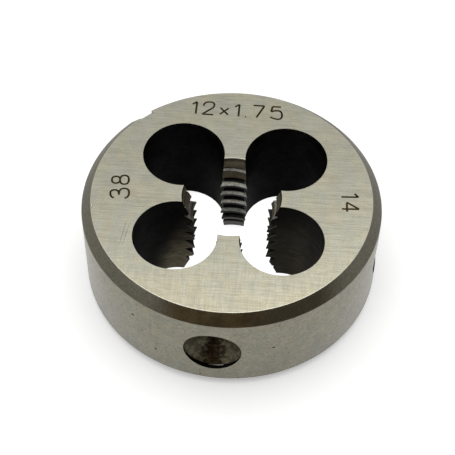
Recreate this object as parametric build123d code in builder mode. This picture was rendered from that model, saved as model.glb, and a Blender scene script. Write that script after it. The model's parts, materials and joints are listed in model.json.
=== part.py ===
"""Round screwing die, M12 x 1.75 right-hand, 38 mm across and 14 mm thick.

The frame: millimetres, +Z up along the thread axis, origin at the centre of the
lower face. The four toothed lands stand on the X and Y axes, and the four chip
holes lie between them.
"""

from build123d import *
import math
import os

os.makedirs("parts", exist_ok=True)

# Turned disc.
DIE_DIAMETER = 38.0
DIE_HEIGHT = 14.0
RIM_CHAMFER_RADIAL = 1.24
RIM_CHAMFER_AXIAL = 1.3

# Chip holes.
LAND_COUNT = 4
CHIP_HOLE_DIAMETER = 10.54
CHIP_CIRCLE_RADIUS = 9.35

# Thread cut by the lands: ISO metric profile, right-hand. The first root is the
# lowest one on the X axis.
THREAD_DIAMETER = 12.0
THREAD_PITCH = 1.75
THREAD_FLANK_ANGLE = 30.0
ROOT_CLEARANCE = 0.05
FIRST_ROOT_HEIGHT = 1.56

# Lead-in cone on each face: how much wider its mouth is than the thread.
LEAD_MOUTH_OVERSIZE = 0.66
LEAD_HALF_ANGLE = 20.0

# Conical seats for the screws of the die holder, half way up the rim.
SEAT_COUNT = 4
SEAT_FIRST_ANGLE = -93.4
SEAT_DIAMETER = 7.17
SEAT_LIP_DEPTH = 0.5
SEAT_HALF_ANGLE = 45.0
SEAT_TIP_DIAMETER = 0.6

# Adjusting groove down the rim, where the die may be slit.
GROOVE_ANGLE = 133.1
GROOVE_DEPTH = 1.4
GROOVE_FLOOR_WIDTH = 1.8
GROOVE_HALF_ANGLE = 30.0

# How far each cutting shape runs out past the surface that it cuts.
CREST_OVERRUN = 0.2
RIM_OVERRUN = 1.0

rim_radius = DIE_DIAMETER / 2
face_radius = rim_radius - RIM_CHAMFER_RADIAL
thread_radius = THREAD_DIAMETER / 2
chip_hole_angle = 180 / LAND_COUNT

# The ISO profile of the screw that the die cuts: seventeen twenty-fourths of its
# triangle deep at the teeth's crests, with a flat of an eighth of the pitch at the
# roots.
triangle_height = THREAD_PITCH * math.sqrt(3) / 2
crest_radius = thread_radius - triangle_height * 17 / 24
root_flat = THREAD_PITCH / 8
root_radius = thread_radius + ROOT_CLEARANCE
mouth_radius = (THREAD_DIAMETER + LEAD_MOUTH_OVERSIZE) / 2
inner_radius = crest_radius - CREST_OVERRUN
lead_depth = (mouth_radius - crest_radius) / math.tan(math.radians(LEAD_HALF_ANGLE))


def half_width_of_gap(radius):
    """Half the width of the gap between two teeth, along the axis, at this radius."""
    return root_flat / 2 + (thread_radius - radius) * math.tan(math.radians(THREAD_FLANK_ANGLE))


def radial_plane(angle, height=0):
    """The upright plane through the axis at this angle, drawn as (radius, height)."""
    outward = Vector(math.cos(math.radians(angle)), math.sin(math.radians(angle)), 0)
    return Plane(origin=(0, 0, height), x_dir=outward, z_dir=outward.cross(Vector(0, 0, 1)))


# The gap between two teeth of one land: a stretch of the thread's helix that
# runs from the chip hole on one side of the land to the one on the other.
with BuildPart() as tooth_gap:
    with BuildLine() as gap_path:
        Helix(
            THREAD_PITCH,
            THREAD_PITCH / LAND_COUNT,
            thread_radius,
            center=(0, 0, FIRST_ROOT_HEIGHT),
        )
    with BuildSketch(Plane.XZ) as gap_section:
        Polygon(
            (inner_radius, FIRST_ROOT_HEIGHT - half_width_of_gap(inner_radius)),
            (root_radius, FIRST_ROOT_HEIGHT - half_width_of_gap(root_radius)),
            (root_radius, FIRST_ROOT_HEIGHT + half_width_of_gap(root_radius)),
            (inner_radius, FIRST_ROOT_HEIGHT + half_width_of_gap(inner_radius)),
            align=None,
        )
    sweep(sections=gap_section.sketch, path=gap_path.line, is_frenet=True)

with BuildPart() as die_body:
    # The blank is turned: rim, both chamfers, both lead-in cones and the bore
    # at the diameter of the thread's crests. The turn starts in a chip hole.
    with BuildSketch(radial_plane(chip_hole_angle)):
        Polygon(
            (crest_radius, lead_depth),
            (mouth_radius, 0),
            (face_radius, 0),
            (rim_radius, RIM_CHAMFER_AXIAL),
            (rim_radius, DIE_HEIGHT - RIM_CHAMFER_AXIAL),
            (face_radius, DIE_HEIGHT),
            (mouth_radius, DIE_HEIGHT),
            (crest_radius, DIE_HEIGHT - lead_depth),
            align=None,
        )
    revolve(axis=Axis.Z)

    # The chip holes open into the bore, which leaves the lands between them.
    with Locations(Plane.XY.offset(DIE_HEIGHT)):
        with PolarLocations(CHIP_CIRCLE_RADIUS, LAND_COUNT, start_angle=chip_hole_angle):
            Hole(CHIP_HOLE_DIAMETER / 2)

    # One helix runs through all the lands, so each land's gaps stand a share of
    # the pitch above those of the land before it. It starts a turn below the
    # lower face and ends past the upper one.
    thread_turns = math.ceil(DIE_HEIGHT / THREAD_PITCH) + 1
    gap_places = []
    for gap in range(-LAND_COUNT, LAND_COUNT * thread_turns):
        turned = (gap - 1 / 2) / LAND_COUNT
        gap_places.append(Location((0, 0, THREAD_PITCH * turned), (0, 0, 360 * turned)))
    with Locations(*gap_places):
        add(tooth_gap.part, mode=Mode.SUBTRACT)

    # Screw seats: a short cylindrical lip, then a cone.
    seat_radius = SEAT_DIAMETER / 2
    seat_tip_radius = SEAT_TIP_DIAMETER / 2
    lip_end = rim_radius - SEAT_LIP_DEPTH
    seat_cone_depth = (seat_radius - seat_tip_radius) / math.tan(math.radians(SEAT_HALF_ANGLE))
    for seat in range(SEAT_COUNT):
        seat_plane = radial_plane(SEAT_FIRST_ANGLE + seat * 360 / SEAT_COUNT, DIE_HEIGHT / 2)
        with BuildSketch(seat_plane):
            Polygon(
                (lip_end - seat_cone_depth, 0),
                (lip_end - seat_cone_depth, seat_tip_radius),
                (lip_end, seat_radius),
                (rim_radius + RIM_OVERRUN, seat_radius),
                (rim_radius + RIM_OVERRUN, 0),
                align=None,
            )
        revolve(axis=Axis(seat_plane.origin, seat_plane.x_dir), mode=Mode.SUBTRACT)

    # Adjusting groove, along the whole height of the rim.
    groove_floor = rim_radius - GROOVE_DEPTH
    groove_mouth = rim_radius + RIM_OVERRUN
    floor_half_width = GROOVE_FLOOR_WIDTH / 2
    mouth_half_width = floor_half_width + (groove_mouth - groove_floor) * math.tan(
        math.radians(GROOVE_HALF_ANGLE)
    )
    with BuildSketch(Plane.XY.rotated((0, 0, GROOVE_ANGLE))):
        Polygon(
            (groove_floor, -floor_half_width),
            (groove_mouth, -mouth_half_width),
            (groove_mouth, mouth_half_width),
            (groove_floor, floor_half_width),
            align=None,
        )
    extrude(amount=DIE_HEIGHT, mode=Mode.SUBTRACT)

die_body.part.label = "die_body"
export_step(die_body.part, "parts/die_body.step")
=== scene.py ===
"""Dresses a round screwing die: one turned, drilled, threaded, ground and numbered disc.

Shapes are worked out in millimetres in the die's own frame, +Z up along the
thread and the origin at the centre of the lower face, and become metres as
they are handed to the scene.
"""

import json
import logging
import math
from dataclasses import dataclass
from enum import Enum, IntEnum

import bmesh
import bpy
from mathutils import Matrix, Quaternion, Vector

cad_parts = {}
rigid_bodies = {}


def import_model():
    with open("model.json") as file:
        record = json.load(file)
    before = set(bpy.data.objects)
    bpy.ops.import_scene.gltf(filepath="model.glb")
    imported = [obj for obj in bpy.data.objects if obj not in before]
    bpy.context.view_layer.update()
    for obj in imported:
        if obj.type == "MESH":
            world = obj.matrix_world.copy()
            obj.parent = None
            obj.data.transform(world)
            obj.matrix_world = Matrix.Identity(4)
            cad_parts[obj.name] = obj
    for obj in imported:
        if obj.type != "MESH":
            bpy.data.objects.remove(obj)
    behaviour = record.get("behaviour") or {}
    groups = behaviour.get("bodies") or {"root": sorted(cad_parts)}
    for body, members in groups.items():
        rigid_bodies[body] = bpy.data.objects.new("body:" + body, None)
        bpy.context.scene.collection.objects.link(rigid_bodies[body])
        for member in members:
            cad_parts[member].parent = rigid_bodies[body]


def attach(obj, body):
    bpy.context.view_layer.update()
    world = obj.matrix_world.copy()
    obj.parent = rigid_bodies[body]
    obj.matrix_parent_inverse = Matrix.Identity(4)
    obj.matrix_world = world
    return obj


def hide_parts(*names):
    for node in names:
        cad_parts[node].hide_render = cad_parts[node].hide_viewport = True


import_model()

LOG = logging.getLogger("screwing_die")
MM = 0.001
CAD_NODE = "die_body"
Socket = bpy.types.NodeSocket
Place = tuple[float, float]  # On a plane.
Span = tuple[float, float]  # From one value to another.
Point = tuple[float, float, float]
Colour = tuple[float, float, float]

UNSTRETCHED = (1.0, 1.0, 1.0)
FLAT = (1.0, 1.0, 0.0)
WHITE = (1.0, 1.0, 1.0, 1.0)


class Surface(IntEnum):
    """The finishes of the die, in the order of its material slots."""

    GROUND_FACE = 0
    GROUND_RIM = 1
    CHAMFER = 2
    CHIP_HOLE = 3
    THREAD = 4
    LEAD_CONE = 5
    SEAT = 6
    ENGRAVING = 7
    BRIGHT_EDGE = 8


class Grain(Enum):
    """Which way the wheel ran: its scratches stretch where the number is small."""

    ALONG_X = (0.035, 1.0, 1.0)
    ALONG_Y = (1.0, 0.07, 1.0)
    ROUND_THE_AXIS = (0.6, 0.6, 1.0)


class Measure(Enum):
    """A number that each place on the die has, in millimetres."""

    X = "X"
    Y = "Y"
    HEIGHT = "Z"
    RADIUS = "radius"


# ------------------------------------------------------------------- finishes


class Tree:
    """Adds and joins the nodes of one tree."""

    def __init__(self, tree: bpy.types.NodeTree) -> None:
        """Takes a tree to work on.

        Args:
            tree: A material's, a group's or the world's node tree.
        """
        self.tree = tree

    def add(self, kind: str, takes: dict | None = None, **settings: object) -> bpy.types.Node:
        """Adds a node.

        Args:
            kind: The node's type, without ShaderNode.
            takes: What goes into its sockets, by name or number: a socket or a value.
            **settings: The node's own settings.

        Returns:
            The node.
        """
        node = self.tree.nodes.new("ShaderNode" + kind)
        for name, value in settings.items():
            setattr(node, name, value)
        for name, value in (takes or {}).items():
            self.feed(node.inputs[name], value)
        return node

    def feed(self, socket: Socket, value: object) -> None:
        """Joins a socket to another, or sets its value.

        Args:
            socket: The socket that takes it.
            value: A socket or a value.
        """
        if isinstance(value, Socket):
            self.tree.links.new(value, socket)
        else:
            socket.default_value = value

    def math(self, operation: str, *values: object) -> Socket:
        """Works out a number from others."""
        return self.add("Math", dict(enumerate(values)), operation=operation).outputs[0]

    def vector(self, operation: str, *values: object) -> Socket:
        """Works out a place from others, or a number for a length or a distance."""
        node = self.add("VectorMath", dict(enumerate(values)), operation=operation)
        return node.outputs["Value" if operation in ("LENGTH", "DISTANCE") else "Vector"]

    def spread(
        self, value: Socket, low: float, high: float, start: object, end: object, smooth: bool = True
    ) -> Socket:
        """Maps a number from low..high to start..end, held at both ends.

        Args:
            value: The number.
            low: Where the map starts.
            high: Where the map ends.
            start: The result at low.
            end: The result at high.
            smooth: Whether the map eases in and out.

        Returns:
            The mapped number.
        """
        takes = {0: value, 1: low, 2: high, 3: start, 4: end}
        easing = "SMOOTHSTEP" if smooth else "LINEAR"
        return self.add("MapRange", takes, interpolation_type=easing).outputs[0]

    def between(self, share: Socket, start: float, end: float) -> Socket:
        """Goes from start to end as a share goes from 0 to 1."""
        return self.spread(share, 0.0, 1.0, start, end)

    def blend(self, share: Socket, first: object, second: object) -> Socket:
        """Mixes two colours.

        Args:
            share: How much of the second shows.
            first: A colour.
            second: Another colour.

        Returns:
            The mixed colour.
        """
        takes = {0: share, 6: self.opaque(first), 7: self.opaque(second)}
        return self.add("Mix", takes, data_type="RGBA").outputs[2]

    @staticmethod
    def opaque(colour: object) -> object:
        """Gives a written colour its alpha, and leaves a socket alone."""
        return (*colour, 1.0) if isinstance(colour, tuple) else colour

    def shade(self, colour: object, value: Socket) -> Socket:
        """Multiplies a colour by a number."""
        return self.add("VectorMath", {0: colour, "Scale": value}, operation="SCALE").outputs[0]

    def millimetres(self, stretch: Point = UNSTRETCHED) -> Socket:
        """Reads the place on the die, stretched along each axis.

        Args:
            stretch: What each coordinate, in millimetres, is multiplied by.

        Returns:
            The place.
        """
        place = self.add("TexCoord").outputs["Object"]
        return self.vector("MULTIPLY", place, tuple(part / MM for part in stretch))

    def parts(self, place: Socket) -> bpy.types.NodeOutputs:
        """Takes a place apart into X, Y and Z."""
        return self.add("SeparateXYZ", {0: place}).outputs

    def measure(self, measure: Measure) -> Socket:
        """Reads one measure of the place on the die.

        Args:
            measure: Which one.

        Returns:
            It, in millimetres.
        """
        if measure is Measure.RADIUS:
            return self.vector("LENGTH", self.millimetres(FLAT))
        return self.parts(self.millimetres())[measure.value]

    def seen_directly(self) -> Socket:
        """Tells whether the eye, a gloss or a glass looks this way.

        Returns:
            1 for such a look and 0 for plain light.
        """
        path = self.add("LightPath").outputs
        eye_or_gloss = self.math("MAXIMUM", path["Is Camera Ray"], path["Is Glossy Ray"])
        return self.math("MAXIMUM", eye_or_gloss, path["Is Transmission Ray"])


class Coat(Tree):
    """The nodes of one new material, round its Principled shader."""

    def __init__(self, name: str) -> None:
        """Makes the material.

        Args:
            name: What the material is called.
        """
        self.material = bpy.data.materials.new(name)
        self.material.use_nodes = True
        super().__init__(self.material.node_tree)

    def give(self, takes: dict[str, object]) -> None:
        """Feeds the shader.

        Args:
            takes: A socket or a value for each of its sockets, by name.
        """
        sockets = self.tree.nodes["Principled BSDF"].inputs
        for name, value in takes.items():
            self.feed(sockets[name], value)


@dataclass(frozen=True)
class Fade:
    """A smooth change from start to end, as one measure of the place goes from low to high."""

    measure: Measure
    low: float
    high: float
    start: float = 0.0
    end: float = 1.0

    def on(self, tree: Tree) -> Socket:
        """Works the change out in a tree."""
        return tree.spread(tree.measure(self.measure), self.low, self.high, self.start, self.end)


@dataclass(frozen=True)
class NoiseMask:
    """A shared mask of noise: a node group that is built the first time it is used.

    Each of its layers is a share of the whole, and how many times finer it is.
    """

    name: str
    detail: float
    roughness: float
    low: float
    high: float
    distortion: float = 0.0
    layers: tuple[tuple[float, float], ...] = ((1.0, 1.0),)

    def on(self, tree: Tree, fineness: float, place: Socket | Point = UNSTRETCHED) -> Socket:
        """Lays the mask over the die.

        Args:
            tree: The material's tree.
            fineness: How many features there are to a millimetre, about.
            place: Where it is read, or how the place on the die is stretched for it.

        Returns:
            The mask, from 0 to 1.
        """
        where = tree.millimetres(place) if isinstance(place, tuple) else place
        takes = {"Place": where, "Fineness": fineness}
        return tree.add("Group", takes, node_tree=self.group()).outputs["Mask"]

    def group(self) -> bpy.types.NodeTree:
        """Builds the group, or finds it if it is there already.

        Returns:
            The node group.
        """
        if self.name in bpy.data.node_groups:
            return bpy.data.node_groups[self.name]
        group = bpy.data.node_groups.new(self.name, "ShaderNodeTree")
        for socket, way, kind in (
            ("Place", "INPUT", "NodeSocketVector"),
            ("Fineness", "INPUT", "NodeSocketFloat"),
            ("Mask", "OUTPUT", "NodeSocketFloat"),
        ):
            group.interface.new_socket(socket, in_out=way, socket_type=kind)
        tree = Tree(group)
        takes = group.nodes.new("NodeGroupInput").outputs
        noise = 0.0
        for share, finer in self.layers:
            settings = {
                "Vector": takes["Place"],
                "Scale": tree.math("MULTIPLY", takes["Fineness"], finer),
                "Detail": self.detail,
                "Roughness": self.roughness,
                "Distortion": self.distortion,
            }
            layer = tree.add("TexNoise", settings).outputs["Fac"]
            noise = tree.math("MULTIPLY_ADD", layer, share, noise)
        gives = group.nodes.new("NodeGroupOutput").inputs
        tree.feed(gives["Mask"], tree.spread(noise, self.low, self.high, 0.0, 1.0))
        return group


SCRATCHES = NoiseMask("wheel_scratches", 3.0, 0.65, 0.34, 0.66, layers=((0.4, 1.0), (0.6, 3.3)))
CLOUDS = NoiseMask("clouds", 4.0, 0.55, 0.36, 0.64, distortion=0.3)
SPECKS = NoiseMask("specks", 2.0, 0.7, 0.61, 0.7)


@dataclass(frozen=True, kw_only=True)
class Finish:
    """What every finish has: a name, its gloss, and the depth of its fine relief."""

    name: str
    roughness: float
    duller: float = 0.08
    glossier: float = 0.06
    depth: float = 0.002

    def material(self) -> bpy.types.Material:
        """Makes the material, or finds it if it is there already.

        Returns:
            The material.
        """
        if self.name in bpy.data.materials:
            return bpy.data.materials[self.name]
        coat = Coat(self.name)
        self.paint(coat)
        return coat.material

    def paint(self, coat: Coat) -> None:
        """Feeds the shader of a coat; each finish has its own way."""
        raise NotImplementedError

    def roughen(self, coat: Coat, relief: Socket) -> None:
        """Raises fine relief that is duller in its hollows than on its ridges.

        Args:
            coat: The material's nodes.
            relief: The relief, from 0 to 1.
        """
        dull, glossy = self.roughness + self.duller, self.roughness - self.glossier
        raised = coat.add("Bump", {"Height": relief, "Distance": self.depth * MM, "Strength": 1.0})
        coat.give({"Roughness": coat.between(relief, dull, glossy), "Normal": raised.outputs[0]})


@dataclass(frozen=True, kw_only=True)
class GroundFinish(Finish):
    """Steel left bright by a grinding wheel, in warm and cool patches."""

    warm: Colour
    cool: Colour
    grain: Grain
    duller: float = 0.05
    glossier: float = 0.03
    depth: float = 0.0008
    fineness: float = 2.2
    contrast: float = 0.1
    specks: float = 0.0
    speck_fineness: float = 4.0
    mottle: float = 0.0
    mottle_fineness: float = 0.7
    patch_fineness: float = 0.55
    patch_stretch: Point = (1.0, 0.5, 1.0)
    crossed: Fade | None = None
    crossed_fineness: float = 0.55
    warmed: Fade | None = None
    warmed_patches: float = 0.7

    def paint(self, coat: Coat) -> None:
        """Lays scratches along the grain, and a second set across it where they cross.

        Args:
            coat: The material's nodes.
        """
        tone = SCRATCHES.on(coat, self.fineness, self.grain.value)
        if self.crossed:
            fineness = self.fineness * self.crossed_fineness
            broad = SCRATCHES.on(coat, fineness, Grain.ALONG_Y.value)
            across = coat.math("SUBTRACT", broad, tone)
            tone = coat.math("MULTIPLY_ADD", across, self.crossed.on(coat), tone)
        patches = CLOUDS.on(coat, self.patch_fineness, self.patch_stretch)
        if self.warmed:
            warmer = self.warmed.on(coat)
            patches = coat.math("MULTIPLY_ADD", patches, self.warmed_patches, warmer)
        light = coat.between(tone, 1.0 - self.contrast, 1.0 + self.contrast)
        for mask, fineness, strength in (
            (SPECKS, self.speck_fineness, self.specks),
            (CLOUDS, self.mottle_fineness, self.mottle),
        ):
            if strength:
                light = coat.math("MULTIPLY_ADD", mask.on(coat, fineness), -strength, light)
        steel = coat.blend(patches, self.cool, self.warm)
        coat.give({"Base Color": coat.shade(steel, light), "Metallic": 1.0})
        self.roughen(coat, tone)


@dataclass(frozen=True, kw_only=True)
class ScaleFinish(Finish):
    """Dark and brown hardening scale, left on whatever the wheel doesn't reach."""

    dark: Colour
    brown: Colour
    duller: float = 0.06
    glossier: float = 0.04
    metallic: float = 0.0
    specular: float = 0.5
    sheen: Colour = (1.0, 0.93, 0.74)
    patch_fineness: float = 0.5
    grit_fineness: float = 3.0
    grit_light: Span = (0.75, 1.25)
    olive: Colour | None = None
    olive_share: Fade = Fade(Measure.X, 2.0, 7.0, 0.0, 0.8)
    # Lighter grey towards the sides: partly the scale's own colour, partly painted reflection.
    lighter_sides: Colour | None = None
    lighter_sides_round: float = 3.0
    lighter_sides_from: float = 8.0
    lighter_sides_to: float = 12.5
    # Darker towards the mouth; and low down, darker and without gloss.
    mouth_darkening: Fade | None = None
    low_darkening: Fade = Fade(Measure.HEIGHT, 4.0, 9.0, 0.1, 1.0)

    def paint(self, coat: Coat) -> None:
        """Mixes the dark and the brown scale; tints it olive, lightens its sides, which is partly
        painted reflection, and darkens it towards the mouth and low down, where these are set.

        Args:
            coat: The material's nodes.
        """
        patches = CLOUDS.on(coat, self.patch_fineness)
        grit = SCRATCHES.on(coat, self.grit_fineness)
        scale = coat.blend(patches, self.dark, self.brown)
        light = coat.between(grit, *self.grit_light)
        metallic, specular = self.metallic, self.specular
        if self.olive:
            scale = coat.blend(self.olive_share.on(coat), scale, self.olive)
        # Lighter towards the sides: partly the scale's own colour, partly painted reflection.
        if self.lighter_sides:
            offset = coat.math("SUBTRACT", coat.measure(Measure.X), self.lighter_sides_round)
            away = coat.math("ABSOLUTE", offset)
            sides = coat.spread(away, self.lighter_sides_from, self.lighter_sides_to, 0.0, 1.0)
            scale = coat.blend(sides, scale, self.lighter_sides)
        # Darker towards the mouth; and low down, darker and without gloss.
        if self.mouth_darkening:
            low_darkening = self.low_darkening.on(coat)
            light = coat.math("MULTIPLY", light, coat.math("MULTIPLY", self.mouth_darkening.on(coat), low_darkening))
            metallic = coat.math("MULTIPLY", low_darkening, metallic)
            specular = coat.math("MULTIPLY", low_darkening, specular)
        coat.give(
            {
                "Base Color": coat.shade(scale, light),
                "Metallic": metallic,
                "Specular IOR Level": specular,
                "Specular Tint": coat.opaque(self.sheen),
            }
        )
        self.roughen(coat, grit)


@dataclass(frozen=True, kw_only=True)
class HoleFinish(Finish):
    """Drilled walls: black scale, and painted light low down in the front holes, where they turn a
    brighter, metallic brown.
    """

    black: Colour = (0.0042, 0.004, 0.0038)
    black_light: Span = (0.1, 1.5)
    brown: Colour = (0.13, 0.112, 0.07)
    patch_fineness: float = 0.5
    patch_height: float = 1.4
    tilt: float = -0.3
    sunk: Fade = Fade(Measure.X, -9.5, -5.0, -0.5, 3.0)
    # Painted light: the front holes' walls turn brown and metallic low down, where light comes in
    # through the bore.
    lit_brown_below: float = 2.5
    black_above: float = 11.5
    lit_bounds: tuple[Fade, ...] = (
        Fade(Measure.Y, -4.5, 3.0, 1.0, 0.0),
        Fade(Measure.X, -3.0, 3.0, 1.0, 0.38),
        Fade(Measure.X, -10.3, -8.0, 0.06, 1.0),
        Fade(Measure.X, 8.5, 11.0, 1.0, 0.3),
        Fade(Measure.RADIUS, 13.5, 16.0, 1.0, 0.0),
    )
    ring_fineness: float = 2.6
    ring_stretch: Point = (0.15, 0.15, 1.0)
    ring_light: Span = (0.75, 1.25)
    specular: float = 0.015
    roughness: float = 0.5
    depth: float = 0.003

    def paint(self, coat: Coat) -> None:
        """Turns from black to a brighter brown down the front holes, which is painted light from the
        bore, with drill rings.

        Args:
            coat: The material's nodes.
        """
        patches = CLOUDS.on(coat, self.patch_fineness)
        low = coat.math("MULTIPLY_ADD", patches, self.patch_height, coat.measure(Measure.HEIGHT))
        low = coat.math("MULTIPLY_ADD", coat.measure(Measure.X), self.tilt, low)
        low = coat.math("SUBTRACT", low, self.sunk.on(coat))
        # Painted light from the bore, low down in the front holes only.
        share = coat.spread(low, self.lit_brown_below, self.black_above, 1.0, 0.0)
        for bound in self.lit_bounds:
            share = coat.math("MULTIPLY", share, bound.on(coat))
        rings = SCRATCHES.on(coat, self.ring_fineness, self.ring_stretch)
        black = coat.shade(self.black, coat.between(patches, *self.black_light))
        scale = coat.blend(share, black, self.brown)
        coat.give(
            {
                "Base Color": coat.shade(scale, coat.between(rings, *self.ring_light)),
                "Metallic": share,
                "Specular IOR Level": self.specular,
            }
        )
        self.roughen(coat, rings)


@dataclass(frozen=True, kw_only=True)
class SeatFinish(Finish):
    """Countersunk cones: turning rings, darker brown up the middle and brighter olive at the sides,
    which is partly scale and partly painted reflection.
    """

    middle: Colour = (0.021, 0.0104, 0.0034)
    sides: Colour = (0.05, 0.041, 0.018)
    sheen: Colour = (1.0, 0.9, 0.68)
    turn: float = 3.4
    ring_fineness: float = 2.4
    ring_stretch: float = 0.1
    ring_dark: Span = (0.4, 0.72)
    ring_light: Span = (1.7, 1.3)
    patch_fineness: float = 1.6
    patch_width: float = 0.7
    patch_light: Span = (0.7, 1.3)
    # Painted reflection, over the scale's colour: the middle stays dark and the sides turn bright.
    middle_to: float = 0.9
    sides_from: float = 2.0
    gleam: Span = (0.15, 0.5)
    lit_centre: Point = (0.02, 7.04, 0.0)
    lit_radius: float = 3.5
    lit_edge: float = 0.08
    unlit: float = 0.04
    roughness: float = 0.36
    depth: float = 0.02

    def paint(self, coat: Coat) -> None:
        """Folds the four seats onto one, and colours it across and along its axis.

        Args:
            coat: The material's nodes.
        """
        takes = {"Vector": coat.millimetres(), "Angle": math.radians(self.turn)}
        squared = coat.add("VectorRotate", takes, rotation_type="Z_AXIS").outputs[0]
        folded = coat.parts(coat.vector("ABSOLUTE", squared))
        across = coat.math("MINIMUM", folded["X"], folded["Y"])
        inwards = coat.math("MAXIMUM", folded["X"], folded["Y"])
        around = coat.math("MULTIPLY", across, self.ring_stretch)
        on_ring = coat.add("CombineXYZ", {0: inwards, 1: around}).outputs[0]
        rings = SCRATCHES.on(coat, self.ring_fineness, on_ring)
        patches = CLOUDS.on(coat, self.patch_fineness)
        uneven = coat.math("MULTIPLY_ADD", patches, self.patch_width, across)
        beside = coat.spread(uneven, self.middle_to, self.sides_from, 0.0, 1.0)
        dark, light = (coat.between(beside, *ends) for ends in (self.ring_dark, self.ring_light))
        ringed = coat.spread(rings, 0.0, 1.0, dark, light, smooth=False)
        patchy = coat.between(patches, *self.patch_light)
        # The lit share takes in the painted shadow of the crescent.
        light = coat.math("MULTIPLY", ringed, coat.math("MULTIPLY", patchy, self.lit(coat, squared)))
        # Painted reflection over the scale: dark brown in the middle, brighter olive at the sides.
        scale = coat.blend(beside, self.middle, self.sides)
        coat.give(
            {
                "Base Color": coat.shade(scale, light),
                "Specular IOR Level": coat.math("MULTIPLY", light, coat.between(beside, *self.gleam)),
                "Specular Tint": coat.opaque(self.sheen),
            }
        )
        self.roughen(coat, rings)

    def lit(self, coat: Coat, squared: Socket) -> Socket:
        """Tells where a cone is clear of the painted shadow, a black crescent along its lower edge.

        Args:
            coat: The material's nodes.
            squared: The place, turned so that the seats lie on the axes.

        Returns:
            A share, from almost 0 in the crescent to 1 inside it.
        """
        parts = coat.parts(squared)
        fore = coat.math("GREATER_THAN", *(coat.math("ABSOLUTE", parts[axis]) for axis in "YX"))
        offset = coat.math("SUBTRACT", parts["X"], parts["Y"])
        across = coat.math("MULTIPLY_ADD", fore, offset, parts["Y"])
        facing = coat.add("CombineXYZ", {0: across, 1: parts["Z"]}).outputs[0]
        away = coat.vector("DISTANCE", facing, self.lit_centre)
        return coat.spread(away, self.lit_radius, self.lit_radius + self.lit_edge, 1.0, self.unlit)


@dataclass(frozen=True, kw_only=True)
class ToothFinish(Finish):
    """Thread flanks: grey steel near the crest, and black on the crest and in the root: scale, with
    painted shade in the root and a painted dark reflection on the crest.
    """

    steel: Colour = (0.15, 0.147, 0.128)
    # Black of the root and crest: scale, with painted shade and a painted dark reflection.
    scale: Colour = (0.004, 0.0035, 0.003)
    crest_radius: float = 4.926
    crest_black: float = 0.02
    crest_clear: float = 0.04
    mouth_radius: float = 6.33
    lead_slope: float = 0.364
    half_height: float = 7.0
    bright_to: float = 0.42
    black_from: float = 0.52
    grit_fineness: float = 4.0
    grit_depth: float = 0.1
    grit_light: Span = (0.45, 1.55)
    dull_bands: tuple[Fade, ...] = (
        Fade(Measure.HEIGHT, 3.8, 5.6, 0.85, 0.0),
        Fade(Measure.HEIGHT, 12.0, 12.4, 0.0, 0.4),
    )
    # The side lands darken away from their first full tooth: scale and painted shade.
    side_edge: float = 0.5
    side_scale_and_shade: float = 0.9
    clean_height: float = 11.5
    clean_to: float = 0.6
    scale_and_shade_from: float = 1.0
    hole_place: Point = (6.611, 6.611, 0.0)
    rubbed_to: float = 5.33
    clear_from: float = 5.41
    rubbed: Span = (0.5, 0.1)
    specular: float = 0.1
    roughness: float = 0.42
    depth: float = 0.006

    def paint(self, coat: Coat) -> None:
        """Darkens the flank towards its root, on its crest and on the side lands, which is scale with
        painted shade, and rubs its edges bright.

        Args:
            coat: The material's nodes.
        """
        radius, height = coat.measure(Measure.RADIUS), coat.measure(Measure.HEIGHT)
        grit = SCRATCHES.on(coat, self.grit_fineness)
        rise = coat.math("ABSOLUTE", coat.math("SUBTRACT", height, self.half_height))
        inwards = coat.math("SUBTRACT", rise, self.half_height)
        cone = coat.math("MULTIPLY_ADD", inwards, self.lead_slope, self.mouth_radius)
        depth = coat.math("SUBTRACT", radius, coat.math("MAXIMUM", cone, self.crest_radius))
        uneven = coat.math("MULTIPLY_ADD", grit, self.grit_depth, depth)
        black, clear = self.crest_radius + self.crest_black, self.crest_radius + self.crest_clear
        # Painted shade over the scale: the flank turns black towards its root, under the tooth above.
        dull = coat.spread(uneven, self.bright_to, self.black_from, 0.0, 1.0)
        for other in (
            # Painted dark reflection over the scale: the crests turn black.
            coat.spread(radius, black, clear, 1.0, 0.0),
            *(band.on(coat) for band in self.dull_bands),
            self.beside(coat),
        ):
            dull = coat.math("MAXIMUM", dull, other)
        dull = coat.math("MULTIPLY", dull, self.inside_edges(coat))
        colour = coat.blend(dull, self.steel, self.scale)
        coat.give(
            {
                "Base Color": coat.shade(colour, coat.between(grit, *self.grit_light)),
                "Metallic": coat.between(dull, 1.0, 0.0),
                "Specular IOR Level": self.specular,
            }
        )
        self.roughen(coat, grit)

    def beside(self, coat: Coat) -> Socket:
        """Tells how much the side lands darken off their first full tooth: scale, and painted shade
        where their flanks face away from the light.

        Args:
            coat: The material's nodes.

        Returns:
            A share, from 0 to 1.
        """
        parts = coat.parts(coat.millimetres())
        difference = coat.math("SUBTRACT", *(coat.math("ABSOLUTE", parts[axis]) for axis in "XY"))
        side = coat.spread(difference, -self.side_edge, self.side_edge, 0.0, self.side_scale_and_shade)
        off = coat.math("ABSOLUTE", coat.math("SUBTRACT", parts["Z"], self.clean_height))
        scale_and_shade = coat.spread(off, self.clean_to, self.scale_and_shade_from, 0.0, 1.0)
        return coat.math("MULTIPLY", side, scale_and_shade)

    def inside_edges(self, coat: Coat) -> Socket:
        """Tells where a flank is clear of the rubbed edge along the chip holes.

        Args:
            coat: The material's nodes.

        Returns:
            A share, from 0 to 1.
        """
        folded = coat.vector("ABSOLUTE", coat.millimetres(FLAT))
        away = coat.vector("DISTANCE", folded, self.hole_place)
        widths = coat.parts(folded)
        side = coat.math("GREATER_THAN", widths["X"], widths["Y"])
        rubbed = coat.between(side, *self.rubbed)
        return coat.spread(away, self.rubbed_to, self.clear_from, rubbed, 1.0, smooth=False)


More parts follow.
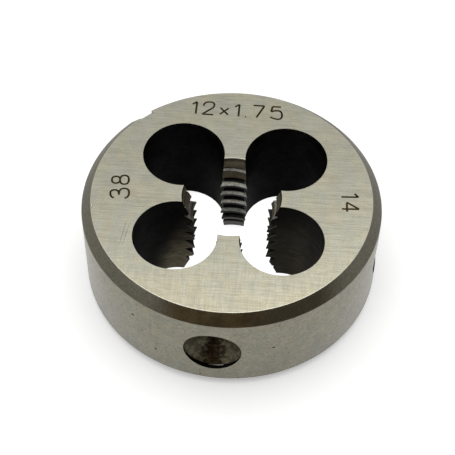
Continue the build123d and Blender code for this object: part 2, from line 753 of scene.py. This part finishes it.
FINISHES = {
    Surface.GROUND_FACE: GroundFinish(
        name="ground_face",
        warm=(0.324, 0.302, 0.222),
        cool=(0.3, 0.295, 0.241),
        grain=Grain.ALONG_X,
        roughness=0.25,
        fineness=4.2,
        contrast=0.19,
        crossed=Fade(Measure.Y, -13.0, -3.0, 0.36, 0.09),
        warmed=Fade(Measure.Y, -16.5, -10.0, 0.5, 0.0),
        mottle=0.07,
    ),
    Surface.GROUND_RIM: GroundFinish(
        name="ground_rim",
        # Darker than the face's steel: partly a coarser grind, partly painted shade of the upright
        # rim.
        warm=(0.238, 0.222, 0.168),
        cool=(0.218, 0.213, 0.169),
        grain=Grain.ROUND_THE_AXIS,
        roughness=0.32,
        fineness=3.6,
        contrast=0.17,
        specks=0.5,
        mottle=0.09,
    ),
    Surface.CHAMFER: ScaleFinish(
        name="chamfer_scale",
        dark=(0.036, 0.024, 0.009),
        brown=(0.06, 0.041, 0.018),
        roughness=0.44,
        specular=0.18,
        olive=(0.04, 0.034, 0.022),
        # Lighter grey at the sides: partly the scale's own colour, partly painted reflection.
        lighter_sides=(0.13, 0.12, 0.092),
    ),
    Surface.CHIP_HOLE: HoleFinish(name="chip_hole_scale"),
    Surface.THREAD: ToothFinish(name="tooth_steel"),
    Surface.LEAD_CONE: ScaleFinish(
        name="lead_cone_scale",
        dark=(0.112, 0.095, 0.062),
        brown=(0.155, 0.132, 0.086),
        roughness=0.38,
        metallic=0.35,
        mouth_darkening=Fade(Measure.RADIUS, 6.1, 6.22, 1.0, 0.25),
    ),
    Surface.SEAT: SeatFinish(name="seat_scale"),
    Surface.ENGRAVING: ScaleFinish(
        name="engraved_line",
        dark=(0.03, 0.02, 0.005),
        brown=(0.06, 0.042, 0.014),
        roughness=0.7,
        specular=0.03,
    ),
    Surface.BRIGHT_EDGE: GroundFinish(
        name="bright_edge",
        warm=(0.42, 0.4, 0.32),
        cool=(0.38, 0.37, 0.31),
        grain=Grain.ROUND_THE_AXIS,
        roughness=0.3,
    ),
}


# --------------------------------------------------------------------- shapes

OVERRUN = 1.0  # How far a cutter runs out past the surface that it cuts.
MERGE_DISTANCE = 1e-5
WELD_DISTANCE = 1e-4
LEVEL = 0.99  # A face lies flat when its normal's height is over this.
UPRIGHT = 0.1  # And it stands upright when that is under this.


def about_axis(degrees: float) -> Matrix:
    """Turns about the Z axis."""
    return Matrix.Rotation(math.radians(degrees), 4, "Z")


def linked(name: str, data: bpy.types.ID) -> bpy.types.Object:
    """Makes an object of some data and links it to the scene.

    Args:
        name: What the object is called.
        data: A mesh, a light or a camera.

    Returns:
        The object.
    """
    made = bpy.data.objects.new(name, data)
    bpy.context.scene.collection.objects.link(made)
    return made


class Solid:
    """A shape on its way to be an object: the blank or a cutter, in millimetres, or a sheet."""

    def __init__(self, name: str) -> None:
        """Starts an empty shape.

        Args:
            name: What the shape is called.
        """
        self.name = name
        self.mesh = bmesh.new()

    def spin(self, profile: list[Place], angle: float, steps: int, **how: object) -> None:
        """Turns a closed profile round the Z axis.

        Args:
            profile: Its corners in order, as (radius, height); the last joins the first
                unless both lie on the axis.
            angle: How far it turns.
            steps: In how many steps.
            **how: The spin's other options.
        """
        corners = [self.mesh.verts.new((radius, 0.0, height)) for radius, height in profile]
        pairs = list(zip(corners, corners[1:] + corners[:1]))
        if profile[0][0] == 0.0 and profile[-1][0] == 0.0:
            pairs.pop()
        geometry = corners + [self.mesh.edges.new(pair) for pair in pairs]
        middle, axis = (0.0, 0.0, 0.0), (0.0, 0.0, 1.0)
        bmesh.ops.spin(
            self.mesh, geom=geometry, cent=middle, axis=axis, angle=angle, steps=steps, **how
        )
        self.close()

    def close(self) -> None:
        """Merges doubles, closes open ends and turns every face outwards."""
        bmesh.ops.remove_doubles(self.mesh, verts=self.mesh.verts, dist=MERGE_DISTANCE)
        bmesh.ops.holes_fill(self.mesh, edges=self.mesh.edges, sides=0)
        bmesh.ops.recalc_face_normals(self.mesh, faces=self.mesh.faces)

    def paint(self, surface: Surface) -> None:
        """Gives every face one finish."""
        for face in self.mesh.faces:
            face.material_index = surface

    def place(self, matrix: Matrix) -> None:
        """Moves the whole shape."""
        bmesh.ops.transform(self.mesh, matrix=matrix, verts=self.mesh.verts)

    def release(self, *materials: bpy.types.Material) -> bpy.types.Object:
        """Turns the shape into an object of the scene.

        Args:
            *materials: Its materials; those of the die if there are none.

        Returns:
            The object, in the shape's own units.
        """
        data = bpy.data.meshes.new(self.name)
        self.mesh.to_mesh(data)
        self.mesh.free()
        for material in materials or [FINISHES[surface].material() for surface in Surface]:
            data.materials.append(material)
        return linked(self.name, data)


def turned(name: str, profile: list[Place], segments: int) -> Solid:
    """Turns a solid the whole way round.

    Args:
        name: What the solid is called.
        profile: Its corners in order, as (radius, height).
        segments: How many steps make the full turn.

    Returns:
        The closed solid.
    """
    solid = Solid(name)
    solid.spin(profile, math.tau, segments, use_merge=True)
    return solid


@dataclass
class ThreadForm:
    """The M12 x 1.75 right-hand thread that the lands carry."""

    diameter: float = 12.0
    pitch: float = 1.75
    flank_angle: float = 30.0
    root_clearance: float = 0.05
    first_root_height: float = 1.56
    crest_overrun: float = 0.2
    turns_below: int = 2
    turns_above: int = 1
    steps_per_turn: int = 96

    @property
    def crest_radius(self) -> float:
        """Radius of the teeth's crests, seventeen twenty-fourths of the ISO triangle deep."""
        return self.diameter / 2 - self.pitch * math.sqrt(3) / 2 * 17 / 24

    def half_gap(self, radius: float) -> float:
        """Half the gap between two teeth; it is an eighth of the pitch wide at its root."""
        flank = math.tan(math.radians(self.flank_angle))
        return self.pitch / 8 / 2 + (self.diameter / 2 - radius) * flank

    def gap_cutter(self, height: float) -> Solid:
        """Winds the gap between the teeth up through a die.

        Args:
            height: How thick the die is.

        Returns:
            One helical solid that starts below the die and ends above it.
        """
        root = self.diameter / 2 + self.root_clearance
        inner = self.crest_radius - self.crest_overrun
        start = self.first_root_height - self.turns_below * self.pitch
        profile = [
            (radius, start + side * self.half_gap(radius))
            for radius, side in ((inner, -1), (root, -1), (root, 1), (inner, 1))
        ]
        turns = math.ceil(height / self.pitch) + self.turns_below + self.turns_above
        steps = self.steps_per_turn * turns
        rise = (0.0, 0.0, self.pitch / self.steps_per_turn)
        solid = Solid("thread_gap")
        solid.spin(profile, math.tau * turns, steps, dvec=rise)
        solid.paint(Surface.THREAD)
        return solid


@dataclass
class Blank:
    """The turned disc: rim, chamfers, faces, lead-in cones and bore."""

    diameter: float = 38.0
    height: float = 14.0
    chamfer_radial: float = 1.24
    chamfer_axial: float = 1.3
    mouth_radius: float = 6.33
    lead_half_angle: float = 20.0
    rim_break: float = 0.1
    face_break: float = 0.05
    sharp_angle: float = 20.0
    bore_margin: float = 0.1
    rim_margin: float = 0.01
    segments: int = 288

    @property
    def radius(self) -> float:
        """Radius of the rim."""
        return self.diameter / 2

    def build(self, bore_radius: float) -> Solid:
        """Turns the disc.

        Args:
            bore_radius: Radius of the bore through it.

        Returns:
            The solid, each face with its finish.
        """
        lead = (self.mouth_radius - bore_radius) / math.tan(math.radians(self.lead_half_angle))
        upper = [
            (self.radius, self.height - self.chamfer_axial),
            (self.radius - self.chamfer_radial, self.height),
            (self.mouth_radius, self.height),
            (bore_radius, self.height - lead),
        ]
        lower = [(radius, self.height - height) for radius, height in reversed(upper)]
        solid = turned("blank", lower + upper, self.segments)
        sharp = [
            edge
            for edge in solid.mesh.edges
            if min(vert.co.xy.length for vert in edge.verts) > bore_radius + self.bore_margin
            and edge.calc_face_angle() > math.radians(self.sharp_angle)
        ]
        for face in solid.mesh.faces:
            face.material_index = self.finish_at(face)
        rim = self.radius - self.rim_margin
        on_rim = [edge for edge in sharp if edge.verts[0].co.xy.length > rim]
        on_faces = [edge for edge in sharp if edge not in on_rim]
        for edges, size, finish in (
            (on_rim, self.rim_break, Surface.CHAMFER),
            (on_faces, self.face_break, Surface.BRIGHT_EDGE),
        ):
            bmesh.ops.bevel(
                solid.mesh,
                geom=edges,
                offset=size,
                segments=2,
                profile=0.5,
                affect="EDGES",
                material=finish,
            )
        return solid

    def finish_at(self, face: bmesh.types.BMFace) -> Surface:
        """Tells which finish a turned face has.

        Args:
            face: A face of the disc before it is drilled.

        Returns:
            The finish, from where the face lies and which way it looks.
        """
        height = abs(face.normal.z)
        if height > LEVEL:
            return Surface.GROUND_FACE
        if face.calc_center_median().xy.length < self.mouth_radius:
            return Surface.LEAD_CONE if height > UPRIGHT else Surface.THREAD
        return Surface.GROUND_RIM if height < UPRIGHT else Surface.CHAMFER


@dataclass
class ChipHoles:
    """The four holes that part the lands and let the chips out."""

    count: int = 4
    diameter: float = 10.54
    circle_radius: float = 9.35
    edge_break: float = 0.025
    segments: int = 128

    def cutters(self, height: float) -> list[Solid]:
        """Makes a drill for each hole, flared where it leaves each face.

        Args:
            height: How thick the die is.

        Returns:
            One cutter for each hole.
        """
        radius = self.diameter / 2
        upper = [
            (radius, height - self.edge_break),
            (radius + self.edge_break + OVERRUN, height + OVERRUN),
            (0.0, height + OVERRUN),
        ]
        lower = [(across, height - level) for across, level in reversed(upper)]
        made = []
        for hole in range(self.count):
            drill = turned(f"chip_hole_{hole}", lower + upper, self.segments)
            for face in drill.mesh.faces:
                flared = UPRIGHT < abs(face.normal.z) < LEVEL
                face.material_index = Surface.BRIGHT_EDGE if flared else Surface.CHIP_HOLE
            turn = about_axis((hole + 0.5) * 360 / self.count)
            drill.place(turn @ Matrix.Translation((self.circle_radius, 0, 0)))
            made.append(drill)
        return made


@dataclass
class ScrewSeats:
    """The conical seats half way up the rim, each with a short straight lip."""

    count: int = 4
    first_angle: float = -93.4
    diameter: float = 7.17
    lip_depth: float = 0.5
    half_angle: float = 45.0
    tip_diameter: float = 0.6
    ring_pitch: float = 0.45
    ring_depth: float = 0.025
    shoulder: float = 0.07
    # Where the shoulder takes bright steel: partly rubbed bright, partly a painted highlight.
    rubbed_from: float = -0.5
    rubbed_to: float = 1.3
    segments: int = 96

    def cutters(self, rim_radius: float, height: float) -> list[Solid]:
        """Makes a countersink for each seat, its cone left with turning rings.

        Args:
            rim_radius: Radius of the rim that the seats are sunk in.
            height: How thick the die is.

        Returns:
            One cutter for each seat.
        """
        mouth, tip = self.diameter / 2, self.tip_diameter / 2
        slope = math.tan(math.radians(self.half_angle))
        lip = rim_radius - self.lip_depth
        cone = mouth - self.shoulder
        rings = round((cone - tip) / self.ring_pitch)
        profile = [(0.0, lip - (mouth - tip) / slope)]
        for ring in range(rings):
            for part, sunk in ((0.0, 0.0), (0.5, self.ring_depth)):
                across = tip + (cone - tip) * (ring + part) / rings
                profile.append((across + sunk, lip - (mouth - across) / slope - sunk))
        profile += [(cone, lip - self.shoulder / slope), (mouth, lip)]
        profile += [(mouth, rim_radius + OVERRUN), (0.0, rim_radius + OVERRUN)]
        made = []
        for seat in range(self.count):
            sink = turned(f"screw_seat_{seat}", profile, self.segments)
            sink.paint(Surface.SEAT)
            for face in sink.mesh.faces:
                centre = face.calc_center_median()
                # A short arc of the shoulder, low in each seat, takes bright steel: partly rubbed,
                # partly a painted highlight.
                rubbed = centre.x > 0 and self.rubbed_from < centre.y < self.rubbed_to
                # The lip takes the black hole finish: scale, with the painted shade of the crescent
                # along the seat's lower edge.
                if centre.z > lip:
                    face.material_index = Surface.CHIP_HOLE
                elif rubbed and centre.xy.length > cone:
                    face.material_index = Surface.GROUND_RIM
            sink.place(
                Matrix.Translation((0, 0, height / 2))
                @ about_axis(self.first_angle + seat * 360 / self.count)
                @ Matrix.Rotation(math.pi / 2, 4, "Y")
            )
            made.append(sink)
        return made


@dataclass
class AdjustingGroove:
    """The groove down the rim, where the die may be slit."""

    angle: float = 133.1
    depth: float = 1.4
    floor_width: float = 1.8
    half_angle: float = 30.0

    def cutter(self, rim_radius: float, height: float) -> Solid:
        """Makes the bar that planes the groove out.

        Args:
            rim_radius: Radius of the rim.
            height: How thick the die is.

        Returns:
            A bar of the groove's section, longer than the die is thick.
        """
        solid = Solid("adjusting_groove")
        floor, mouth = rim_radius - self.depth, rim_radius + OVERRUN
        half = self.floor_width / 2
        wide = half + (mouth - floor) * math.tan(math.radians(self.half_angle))
        corners = [
            solid.mesh.verts.new((radius, across, -OVERRUN))
            for radius, across in ((floor, -half), (mouth, -wide), (mouth, wide), (floor, half))
        ]
        base = solid.mesh.faces.new(corners)
        risen = bmesh.ops.extrude_face_region(solid.mesh, geom=[base], use_keep_orig=True)
        bmesh.ops.translate(
            solid.mesh,
            verts=[part for part in risen["geom"] if isinstance(part, bmesh.types.BMVert)],
            vec=(0.0, 0.0, height + 2 * OVERRUN),
        )
        solid.close()
        solid.paint(Surface.CHIP_HOLE)
        solid.place(about_axis(self.angle))
        return solid


@dataclass(frozen=True)
class Stroke:
    """One stroke of a numeral, in parts of the numeral's height."""

    points: tuple[Place, ...]
    curved: bool = False
    closed: bool = False

    def tube(self, start: float, height: float, radius: float) -> Solid:
        """Draws a round tool's path along the stroke, on the XY plane.

        Args:
            start: Where its numeral starts, in parts of the height.
            height: The numeral's height.
            radius: Radius of the tool.

        Returns:
            The space that the tool sweeps.
        """
        path = bpy.data.curves.new("stroke", "CURVE")
        path.dimensions = "3D"
        path.bevel_depth = radius
        path.bevel_resolution = 2
        path.use_fill_caps = True
        path.resolution_u = 5
        line = path.splines.new("NURBS" if self.curved else "POLY")
        line.points.add(len(self.points) - 1)
        for point, (across, along) in zip(line.points, self.points):
            point.co = ((start + across) * height, along * height, 0.0, 1.0)
        if self.curved:
            line.order_u = 3
            line.use_endpoint_u = not self.closed
            line.use_cyclic_u = self.closed
        drawn = bpy.data.objects.new("stroke", path)
        shape = bpy.data.meshes.new_from_object(drawn)
        solid = Solid("stroke")
        solid.mesh.from_mesh(shape)
        bpy.data.objects.remove(drawn)
        bpy.data.meshes.remove(shape)
        bpy.data.curves.remove(path)
        solid.close()
        return solid


@dataclass(frozen=True)
class Numeral:
    """A single-line numeral."""

    width: float
    strokes: tuple[Stroke, ...]


def straight(*points: Place) -> tuple[Stroke, ...]:
    """Draws a straight stroke from each point to the next."""
    return tuple(Stroke(ends) for ends in zip(points, points[1:]))


def curve(*points: Place, closed: bool = False) -> Stroke:
    """Draws one smooth stroke past all the points."""
    return Stroke(points, curved=True, closed=closed)


NUMERALS = {
    "1": Numeral(0.25, straight((0.0, 0.78), (0.25, 1.0), (0.25, 0.0))),
    "2": Numeral(
        0.68,
        (
            curve((0.03, 0.7), (0.03, 1.02), (0.66, 1.06), (0.7, 0.64), (0.42, 0.4), (0.0, 0.0)),
            *straight((0.0, 0.0), (0.68, 0.0)),
        ),
    ),
    "3": Numeral(
        0.66,
        (
            curve((0.04, 0.82), (0.08, 1.03), (0.62, 1.06), (0.64, 0.54), (0.26, 0.54)),
            curve((0.26, 0.54), (0.74, 0.56), (0.74, -0.05), (0.06, -0.05), (0.0, 0.2)),
        ),
    ),
    "4": Numeral(0.7, straight((0.5, 0.0), (0.5, 1.0), (0.0, 0.3), (0.7, 0.3))),
    "5": Numeral(
        0.66,
        (
            *straight((0.62, 1.0), (0.1, 1.0), (0.04, 0.55)),
            curve((0.04, 0.55), (0.2, 0.68), (0.7, 0.68), (0.74, 0.0), (0.3, -0.04), (0.0, 0.12)),
        ),
    ),
    "7": Numeral(0.68, straight((0.0, 1.0), (0.68, 1.0), (0.24, 0.0))),
    "8": Numeral(
        0.68,
        (
            curve((0.08, 0.52), (0.6, 0.52), (0.6, 1.0), (0.08, 1.0), closed=True),
            curve((0.0, 0.0), (0.68, 0.0), (0.68, 0.52), (0.0, 0.52), closed=True),
        ),
    ),
    "x": Numeral(
        0.5,
        (*straight((0.0, 0.08), (0.5, 0.62)), *straight((0.0, 0.62), (0.5, 0.08))),
    ),
    ".": Numeral(0.06, straight((0.0, 0.0), (0.06, 0.0))),
}


@dataclass
class Mark:
    """A size engraved on the upper face."""

    text: str
    centre: Place
    reading_angle: float
    numeral_height: float = 2.15
    spacing: float = 0.4
    line_width: float = 0.29
    depth: float = 0.09

    def cutters(self, face_height: float) -> list[Solid]:
        """Makes the engraving tool's path for every stroke.

        Args:
            face_height: Height of the face that is engraved.

        Returns:
            One cutter for each stroke.
        """
        half = self.line_width / 2
        tool = (half * half + self.depth * self.depth) / (2 * self.depth)
        widths = [NUMERALS[sign].width for sign in self.text]
        length = sum(widths) + self.spacing * (len(widths) - 1)
        settle = (
            Matrix.Translation((*self.centre, face_height + tool - self.depth))
            @ about_axis(self.reading_angle)
            @ Matrix.Translation((-length * self.numeral_height / 2, -self.numeral_height / 2, 0))
        )
        made, start = [], 0.0
        for sign, width in zip(self.text, widths):
            for stroke in NUMERALS[sign].strokes:
                solid = stroke.tube(start, self.numeral_height, tool)
                solid.paint(Surface.ENGRAVING)
                solid.place(settle)
                made.append(solid)
            start += width + self.spacing
        return made


@dataclass(frozen=True)
class Blemish:
    """A pit, a nick or a scratch: a small ellipsoid that is missing from the surface."""

    centre: Point
    half_sizes: Point
    turn: float
    finish: Surface

    @classmethod
    def on_rim(
        cls, angle: float, height: float, half_width: float, half_height: float, radius: float
    ) -> "Blemish":
        """Places a dark pit or line on the rim.

        Args:
            angle: Where on the rim, in degrees.
            height: How high up the rim.
            half_width: Half its width round the rim.
            half_height: Half its height.
            radius: Radius of the rim.

        Returns:
            The blemish, half as deep as it is wide.
        """
        across, along = math.cos(math.radians(angle)), math.sin(math.radians(angle))
        return cls(
            centre=(radius * across, radius * along, height),
            half_sizes=(half_width / 2, half_width, half_height),
            turn=angle,
            finish=Surface.CHAMFER,
        )

    def cutter(self) -> Solid:
        """Makes the missing ellipsoid."""
        solid = Solid("blemish")
        bmesh.ops.create_icosphere(solid.mesh, subdivisions=3, radius=1.0)
        solid.paint(self.finish)
        stretch = Matrix.Diagonal((*self.half_sizes, 1.0))
        solid.place(Matrix.Translation(self.centre) @ about_axis(self.turn) @ stretch)
        return solid


# ------------------------------------------------------------------ the piece


class ScrewingDie:
    """The whole die: its blank, everything cut from it, and its finishes."""

    smooth_below: float = math.radians(28)

    def __init__(self) -> None:
        """Takes the sizes of each feature from its own class."""
        self.blank = Blank()
        self.thread = ThreadForm()
        self.holes = ChipHoles()
        self.seats = ScrewSeats()
        self.groove = AdjustingGroove()
        self.marks = [
            Mark("12x1.75", (-0.3, 14.66), -0.9),
            Mark("38", (-14.2, 0.5), 94.0),
            Mark("14", (14.9, 0.0), -87.0),
        ]
        rim, top = self.blank.radius, self.blank.height
        self.blemishes = [
            Blemish.on_rim(-125.6, 9.02, 0.22, 0.17, rim),
            Blemish.on_rim(-115.7, 4.28, 0.17, 0.15, rim),
            Blemish.on_rim(-70.5, 7.36, 0.19, 0.13, rim),
            Blemish.on_rim(-97.9, 1.82, 0.12, 0.1, rim),
            Blemish.on_rim(-117.9, 7.7, 0.022, 2.4, rim),
            Blemish((-17.4, -2.8, top), (0.14, 0.42, 0.12), 8.0, Surface.BRIGHT_EDGE),
            Blemish((-13.0, -6.6, top), (2.15, 0.035, 0.02), 83.3, Surface.GROUND_RIM),
            Blemish((-12.6, -6.9, top), (1.9, 0.035, 0.02), 81.0, Surface.GROUND_RIM),
        ]

    def cutters(self) -> list[Solid]:
        """Gathers everything that is cut from the blank.

        Returns:
            One closed solid for each cut.
        """
        radius, height = self.blank.radius, self.blank.height
        return [
            *self.holes.cutters(height),
            self.thread.gap_cutter(height),
            *self.seats.cutters(radius, height),
            self.groove.cutter(radius, height),
            *(stroke for mark in self.marks for stroke in mark.cutters(height)),
            *(blemish.cutter() for blemish in self.blemishes),
        ]

    def build(self) -> bpy.types.Object:
        """Cuts the die and hands it over in metres.

        Returns:
            The finished piece, at the origin.
        """
        body = self.blank.build(self.thread.crest_radius).release()
        body.name = "die_ground_body"
        self.cut(body, self.cutters())
        self.finish_mesh(body.data)
        return body

    @staticmethod
    def cut(body: bpy.types.Object, solids: list[Solid]) -> None:
        """Takes the space of all the cutters out of the body, and drops them.

        Args:
            body: What is cut; its mesh is exchanged for the cut one.
            solids: What is taken away.
        """
        tools = bpy.data.collections.new("cutters")
        for solid in solids:
            cutter = solid.release()
            bpy.context.scene.collection.objects.unlink(cutter)
            tools.objects.link(cutter)
        bpy.context.scene.collection.children.link(tools)
        step = body.modifiers.new("cut", "BOOLEAN")
        step.operation = "DIFFERENCE"
        step.solver = "EXACT"
        step.material_mode = "INDEX"
        step.operand_type = "COLLECTION"
        step.collection = tools
        bpy.context.view_layer.update()
        graph = bpy.context.evaluated_depsgraph_get()
        result = bpy.data.meshes.new_from_object(body.evaluated_get(graph))
        body.modifiers.clear()
        spent = [body.data] + [cutter.data for cutter in tools.objects]
        body.data = result
        for cutter in list(tools.objects):
            bpy.data.objects.remove(cutter)
        for data in spent:
            bpy.data.meshes.remove(data)
        bpy.data.collections.remove(tools)

    def finish_mesh(self, data: bpy.types.Mesh) -> None:
        """Cleans the cut mesh, marks its sharp edges and scales it to metres.

        Args:
            data: The mesh, in millimetres.
        """
        mesh = bmesh.new()
        mesh.from_mesh(data)
        bmesh.ops.remove_doubles(mesh, verts=mesh.verts, dist=WELD_DISTANCE)
        bmesh.ops.dissolve_degenerate(mesh, edges=mesh.edges, dist=MERGE_DISTANCE)
        for face in mesh.faces:
            face.smooth = face.material_index != Surface.GROUND_FACE
        for edge in mesh.edges:
            edge.smooth = edge.is_manifold and edge.calc_face_angle() < self.smooth_below
        bmesh.ops.scale(mesh, vec=(MM, MM, MM), verts=mesh.verts)
        mesh.to_mesh(data)
        mesh.free()

    def dress(self, body: bpy.types.Object) -> None:
        """Gives the piece that build() made its place in the frame.

        Args:
            body: The piece.
        """
        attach(body, "root")
        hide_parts(CAD_NODE)


# ----------------------------------------------------------------- the studio


def looking(direction: Vector, turn: float) -> Quaternion:
    """Looks along a direction, turned about it by some degrees."""
    spin = Quaternion((0.0, 0.0, 1.0), math.radians(turn))
    return direction.to_track_quat("-Z", "Y") @ spin


@dataclass(frozen=True)
class Lamp:
    """A soft square lamp aimed at the die."""

    name: str
    place: Point
    size: float
    power: float
    turn: float

    def hang(self) -> None:
        """Hangs the lamp, unseen by the camera."""
        data = bpy.data.lights.new(self.name, "AREA")
        data.shape = "SQUARE"
        data.size = self.size
        data.energy = self.power
        made = linked(self.name, data)
        made.location = self.place
        made.rotation_mode = "QUATERNION"
        made.rotation_quaternion = looking(-Vector(self.place), self.turn)
        made.visible_camera = False


@dataclass
class Studio:
    """Pale floor, dark card, even light, and the camera."""

    camera_place: Point = (5.9991, -110.7707, 150.104)
    camera_target: Point = (-0.519, 0.3939, 7.0)
    camera_roll: float = 0.6325
    lens: float = 110.32
    fill: float = 0.35
    lamp: Lamp = Lamp("lamp_above", (0.0, 0.045, 0.7), 0.8, 3.6, 14.0)
    floor_size: Place = (6.0, 6.0)
    floor_drop: float = 0.00001
    floor_colour: Colour = (0.9, 0.9, 0.9)
    # Glows evenly further out; within 11 mm of the axis, painted light brightens the floor under the
    # die.
    floor_glow_and_painted_light: Fade = Fade(Measure.RADIUS, 11.0, 18.0, 0.85, 0.4)
    card_size: Place = (0.8, 0.45)
    card_place: Point = (0.2, -0.4, 0.3)
    card_colour: Colour = (0.02, 0.02, 0.02)

    def build(self) -> None:
        """Sets up the floor, the card, the light and the camera."""
        self.lay_floor()
        self.stand_card()
        self.light_world()
        self.lamp.hang()
        self.stand_camera()

    @staticmethod
    def sheet(name: str, size: Place, place: Matrix, coat: Coat) -> bpy.types.Object:
        """Makes a flat sheet that is no part of the die.

        Args:
            name: What the sheet is called.
            size: Its width and length, in metres.
            place: Where it lies.
            coat: Its material's nodes.

        Returns:
            The sheet.
        """
        sheet = Solid(name)
        bmesh.ops.create_grid(sheet.mesh, x_segments=1, y_segments=1, size=0.5)
        sheet.place(Matrix.Diagonal((*size, 1.0, 1.0)))
        sheet.place(place)
        return sheet.release(coat.material)

    def lay_floor(self) -> None:
        """Lays the floor under the die, glowing a little where it is looked at, and more under the
        die, which is painted light over its shadow there.
        """
        coat = Coat("floor_paper")
        glow_and_painted_light = coat.math("MULTIPLY", coat.seen_directly(), self.floor_glow_and_painted_light.on(coat))
        coat.give(
            {
                "Base Color": coat.opaque(self.floor_colour),
                "Roughness": 0.9,
                "Specular IOR Level": 0.2,
                "Emission Color": WHITE,
                "Emission Strength": glow_and_painted_light,
            }
        )
        floor = self.sheet("floor", self.floor_size, Matrix(), coat)
        floor.location.z = -self.floor_drop

    def stand_card(self) -> None:
        """Stands a dark card behind the camera, which darkens what faces it."""
        coat = Coat("card_cloth")
        coat.give({"Base Color": coat.opaque(self.card_colour), "Roughness": 1.0})
        place = Vector(self.card_place)
        turn = place.to_track_quat("Z", "Y").to_matrix().to_4x4()
        card = self.sheet("card", self.card_size, Matrix.Translation(place) @ turn, coat)
        card.visible_camera = False

    def light_world(self) -> None:
        """Makes the world white to look at and softer as a light."""
        world = bpy.data.worlds.new("studio_white")
        bpy.context.scene.world = world
        world.use_nodes = True
        tree = Tree(world.node_tree)
        white = world.node_tree.nodes["Background"]
        tree.feed(white.inputs["Color"], WHITE)
        soft = tree.add("Background", {"Color": WHITE, "Strength": self.fill})
        takes = {"Fac": tree.seen_directly(), 1: soft.outputs[0], 2: white.outputs[0]}
        mix = tree.add("MixShader", takes)
        tree.feed(world.node_tree.nodes["World Output"].inputs["Surface"], mix.outputs[0])

    def stand_camera(self) -> None:
        """Stands the camera over the front of the die."""
        data = bpy.data.cameras.new("camera")
        data.lens = self.lens
        data.clip_start, data.clip_end = 0.01, 20.0
        camera = linked("camera", data)
        place, target = (Vector(point) * MM for point in (self.camera_place, self.camera_target))
        camera.location = place
        camera.rotation_mode = "QUATERNION"
        camera.rotation_quaternion = looking(target - place, self.camera_roll)
        bpy.context.scene.camera = camera
        bpy.context.scene.view_settings.view_transform = "Standard"


def main() -> None:
    """Builds the die, then the studio round it, and reports each piece."""
    logging.basicConfig(level=logging.INFO, format="%(message)s")
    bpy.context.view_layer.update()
    die = ScrewingDie()
    body = die.build()
    die.dress(body)
    LOG.info("%s: %d faces", body.name, len(body.data.polygons))
    Studio().build()


if __name__ == "__main__":
    main()
